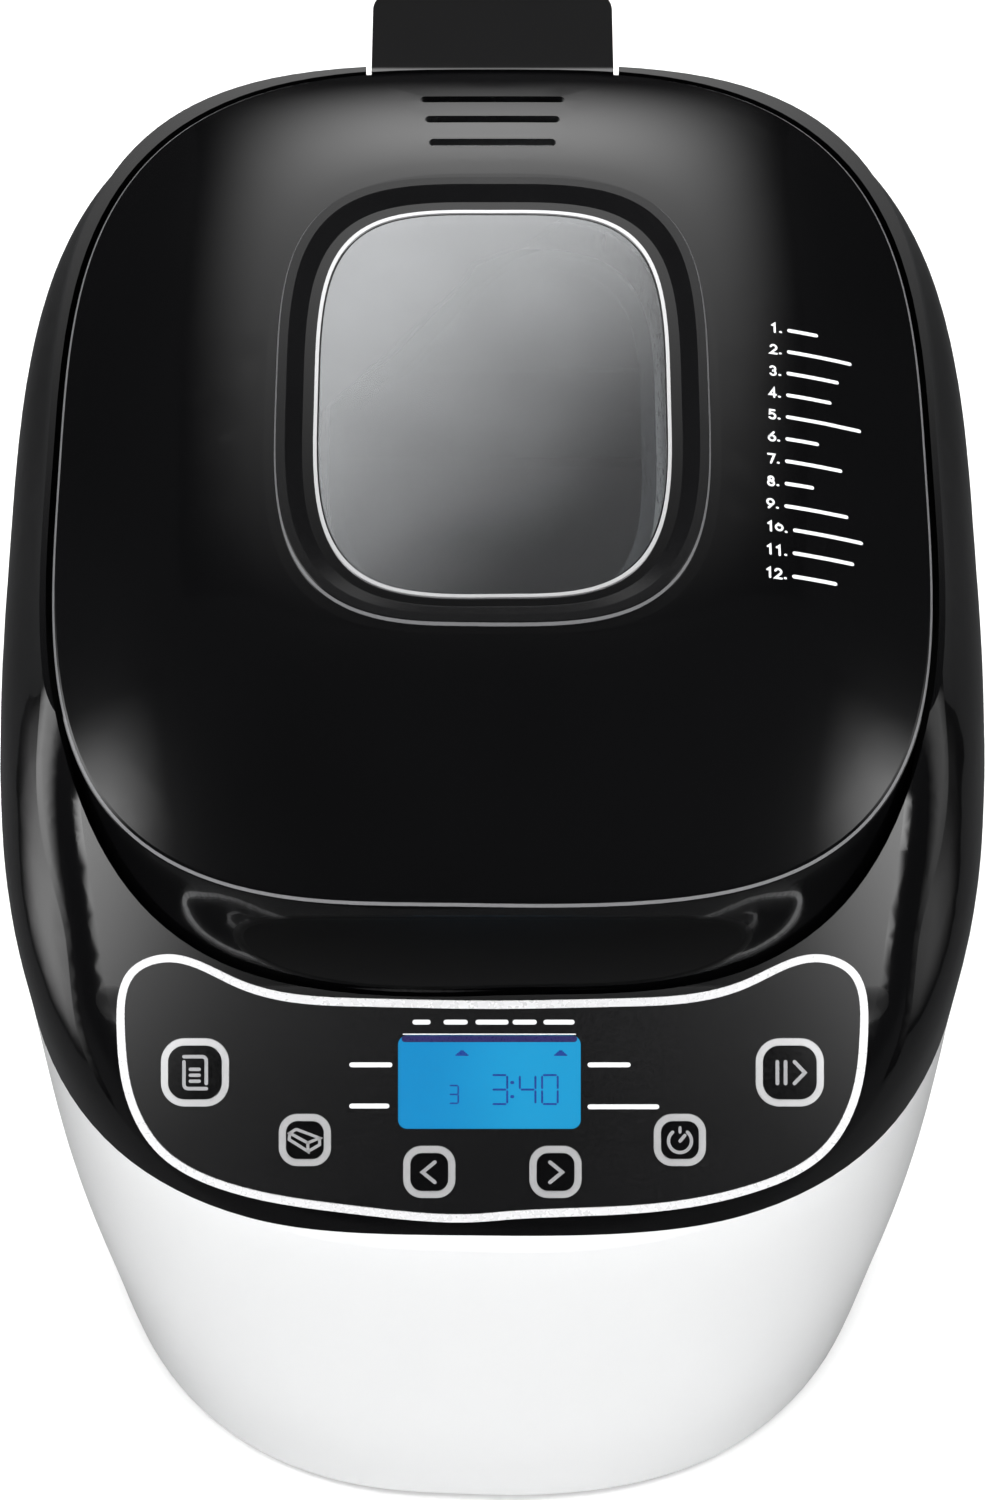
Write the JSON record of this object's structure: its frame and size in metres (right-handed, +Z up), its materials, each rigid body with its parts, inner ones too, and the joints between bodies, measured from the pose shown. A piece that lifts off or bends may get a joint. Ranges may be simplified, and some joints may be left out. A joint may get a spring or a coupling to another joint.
{
  "type": "bread machine",
  "caption": "Bread machine with a hinged windowed lid, sloping button panel, heated chamber, removable pan and belt-driven kneading paddle.",
  "frame": {"origin": "centre of the bounding box's footprint, on the surface the feet stand on", "axes": "+Z up, -Y towards the control panel and the user, +X to the user's right; the X = 0 plane is the middle plane"},
  "size_m": [0.28, 0.3612, 0.2952],
  "materials": {
    "white_casing": "satin",
    "black_housing": "gloss",
    "black_fascia": "gloss",
    "base_plastic": "matte",
    "foot_rubber": "matte",
    "silver_trim": "polished",
    "button_black": "gloss",
    "display_blue": "gloss",
    "display_body": "matte",
    "board_green": "satin",
    "window_glass": "gloss",
    "liner_metal": "satin",
    "chamber_metal": "satin",
    "steel": "satin",
    "element_steel": "matte",
    "pan_coating": "satin non-stick",
    "brass": "satin",
    "pulley_plastic": "matte",
    "belt_rubber": "matte",
    "motor_steel": "satin",
    "capacitor_plastic": "matte"
  },
  "bodies": {
    "housing": {"lower_casing": "white_casing", "upper_housing": "black_housing", "base_plate": "base_plastic", "rubber_foot_1": "foot_rubber", "rubber_foot_2": "foot_rubber", "rubber_foot_3": "foot_rubber", "rubber_foot_4": "foot_rubber", "base_screws": "steel", "cord_gland": "base_plastic", "panel_trim_ring": "silver_trim", "control_fascia": "black_fascia", "button_frame_menu": "silver_trim", "button_frame_start": "silver_trim", "button_frame_loaf": "silver_trim", "button_frame_timer": "silver_trim", "button_frame_less": "silver_trim", "button_frame_more": "silver_trim", "display_window": "display_blue", "display_module": "display_body", "control_board": "board_green", "power_board": "board_green", "lid_hinge_pin": "steel", "chamber": "chamber_metal", "pan_socket": "chamber_metal", "heating_element": "element_steel", "element_brackets": "steel", "temperature_sensor": "steel", "chassis_plate": "steel", "bearing": "brass", "drive_belt": "belt_rubber", "motor": "motor_steel", "run_capacitor": "capacitor_plastic"},
    "lid": {"lid_shell": "black_housing", "window_frame": "black_fascia", "window_trim": "silver_trim", "outer_glass": "window_glass", "lid_liner": "liner_metal", "inner_glass": "window_glass"},
    "drive": {"drive_shaft": "steel", "drive_coupling": "steel", "large_pulley": "pulley_plastic"},
    "rotor": {"motor_shaft": "steel", "motor_pulley": "pulley_plastic"},
    "pan": {"baking_pan": "pan_coating", "shaft_bush": "brass"},
    "handle": {"pan_handle": "steel"},
    "spindle": {"blade_shaft": "steel"},
    "blade": {"paddle": "pan_coating"},
    "button_menu": {"button_cap_menu": "button_black"},
    "button_start": {"button_cap_start": "button_black"},
    "button_loaf": {"button_cap_loaf": "button_black"},
    "button_timer": {"button_cap_timer": "button_black"},
    "button_less": {"button_cap_less": "button_black"},
    "button_more": {"button_cap_more": "button_black"}
  },
  "joints": [
    {"name": "lid_hinge", "type": "hinge", "parent": "housing", "child": "lid", "pos_m": [0, 0.1675, 0.288], "axis": [-1, 0, 0], "range_deg": [0, 80]},
    {"name": "drive_spin", "type": "hinge", "parent": "housing", "child": "drive", "pos_m": [0, 0.02, 0.026], "axis": [0, 0, 1], "continuous": true},
    {"name": "motor_spin", "type": "hinge", "parent": "housing", "child": "rotor", "pos_m": [0.056, -0.106, 0.026], "axis": [0, 0, 1], "continuous": true},
    {"name": "pan_lift", "type": "slide", "parent": "housing", "child": "pan", "axis": [0, 0, 1], "range_m": [0, 0.012]},
    {"name": "handle_fold", "type": "hinge", "parent": "pan", "child": "handle", "pos_m": [0, 0.02, 0.179], "axis": [-1, 0, 0], "range_deg": [0, 90]},
    {"name": "spindle_spin", "type": "hinge", "parent": "pan", "child": "spindle", "pos_m": [0, 0.02, 0.1], "axis": [0, 0, 1], "continuous": true},
    {"name": "paddle_lift", "type": "slide", "parent": "spindle", "child": "blade", "axis": [0, 0, 1], "range_m": [0, 0.03]},
    {"name": "press_menu", "type": "slide", "parent": "housing", "child": "button_menu", "axis": [0, 0.6428, -0.766], "range_m": [0, 0.001], "stiffness_N_per_m": 400},
    {"name": "press_start", "type": "slide", "parent": "housing", "child": "button_start", "axis": [0, 0.6428, -0.766], "range_m": [0, 0.001], "stiffness_N_per_m": 400},
    {"name": "press_loaf", "type": "slide", "parent": "housing", "child": "button_loaf", "axis": [0, 0.6428, -0.766], "range_m": [0, 0.001], "stiffness_N_per_m": 400},
    {"name": "press_timer", "type": "slide", "parent": "housing", "child": "button_timer", "axis": [0, 0.6428, -0.766], "range_m": [0, 0.001], "stiffness_N_per_m": 400},
    {"name": "press_less", "type": "slide", "parent": "housing", "child": "button_less", "axis": [0, 0.6428, -0.766], "range_m": [0, 0.001], "stiffness_N_per_m": 400},
    {"name": "press_more", "type": "slide", "parent": "housing", "child": "button_more", "axis": [0, 0.6428, -0.766], "range_m": [0, 0.001], "stiffness_N_per_m": 400}
  ],
  "couplings": [
    {"joint": "motor_spin", "follows": "drive_spin", "ratio": 5.2697},
    {"joint": "spindle_spin", "follows": "drive_spin", "ratio": 1}
  ]
}
